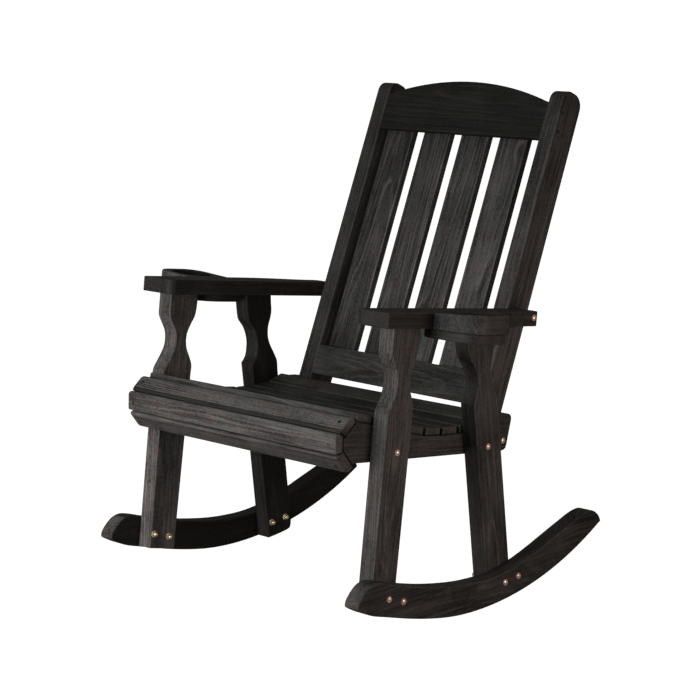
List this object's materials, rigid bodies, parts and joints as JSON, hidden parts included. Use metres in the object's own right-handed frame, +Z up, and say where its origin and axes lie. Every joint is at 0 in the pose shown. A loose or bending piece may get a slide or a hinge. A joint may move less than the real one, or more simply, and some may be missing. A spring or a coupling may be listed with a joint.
{
  "type": "rocking chair",
  "caption": "Wide-armed mission rocking chair with a contoured slatted seat, a reclined slatted back, curved rockers and a cup holder on each arm.",
  "frame": {"origin": "centre of the bounding box in X and Y, on the floor under the rockers' lowest line", "axes": "+Z up, +X toward the sitter's left, the chair faces -Y; stored at the balance point of the empty chair"},
  "size_m": [0.9444, 0.9114, 1.0082],
  "materials": {
    "wood": "charcoal stain, satin, grain showing",
    "bolts": "copper-brown coated steel",
    "nuts": "bright",
    "screws": "dull"
  },
  "bodies": {
    "root": {"rocker_left": "wood", "rocker_right": "wood", "front_leg_left": "wood", "front_leg_right": "wood", "back_leg_left": "wood", "back_leg_right": "wood", "seat_rail_left": "wood", "seat_rail_right": "wood", "nose_slat_1": "wood", "nose_slat_2": "wood", "nose_slat_3": "wood", "seat_slat_1": "wood", "seat_slat_2": "wood", "seat_slat_3": "wood", "seat_slat_4": "wood", "seat_slat_5": "wood", "seat_slat_6": "wood", "seat_slat_7": "wood", "seat_slat_8": "wood", "back_stile_left": "wood", "back_stile_right": "wood", "crest_rail": "wood", "lower_back_rail": "wood", "back_slat_1": "wood", "back_slat_2": "wood", "back_slat_3": "wood", "back_slat_4": "wood", "armrest_left": "wood", "armrest_right": "wood", "cup_block_left": "wood", "cup_block_right": "wood", "cup_plate_left": "wood", "cup_plate_right": "wood", "rocker_bolts_left": "bolts", "rocker_bolts_right": "bolts", "rocker_nuts_left": "nuts", "rocker_nuts_right": "nuts", "seat_bolts_left": "bolts", "seat_bolts_right": "bolts", "seat_nuts_left": "nuts", "seat_nuts_right": "nuts", "arm_bolt_left": "bolts", "arm_bolt_right": "bolts", "seat_screws": "screws", "back_screws": "screws", "stile_screws": "screws", "arm_screws": "screws"}
  },
  "joints": []
}
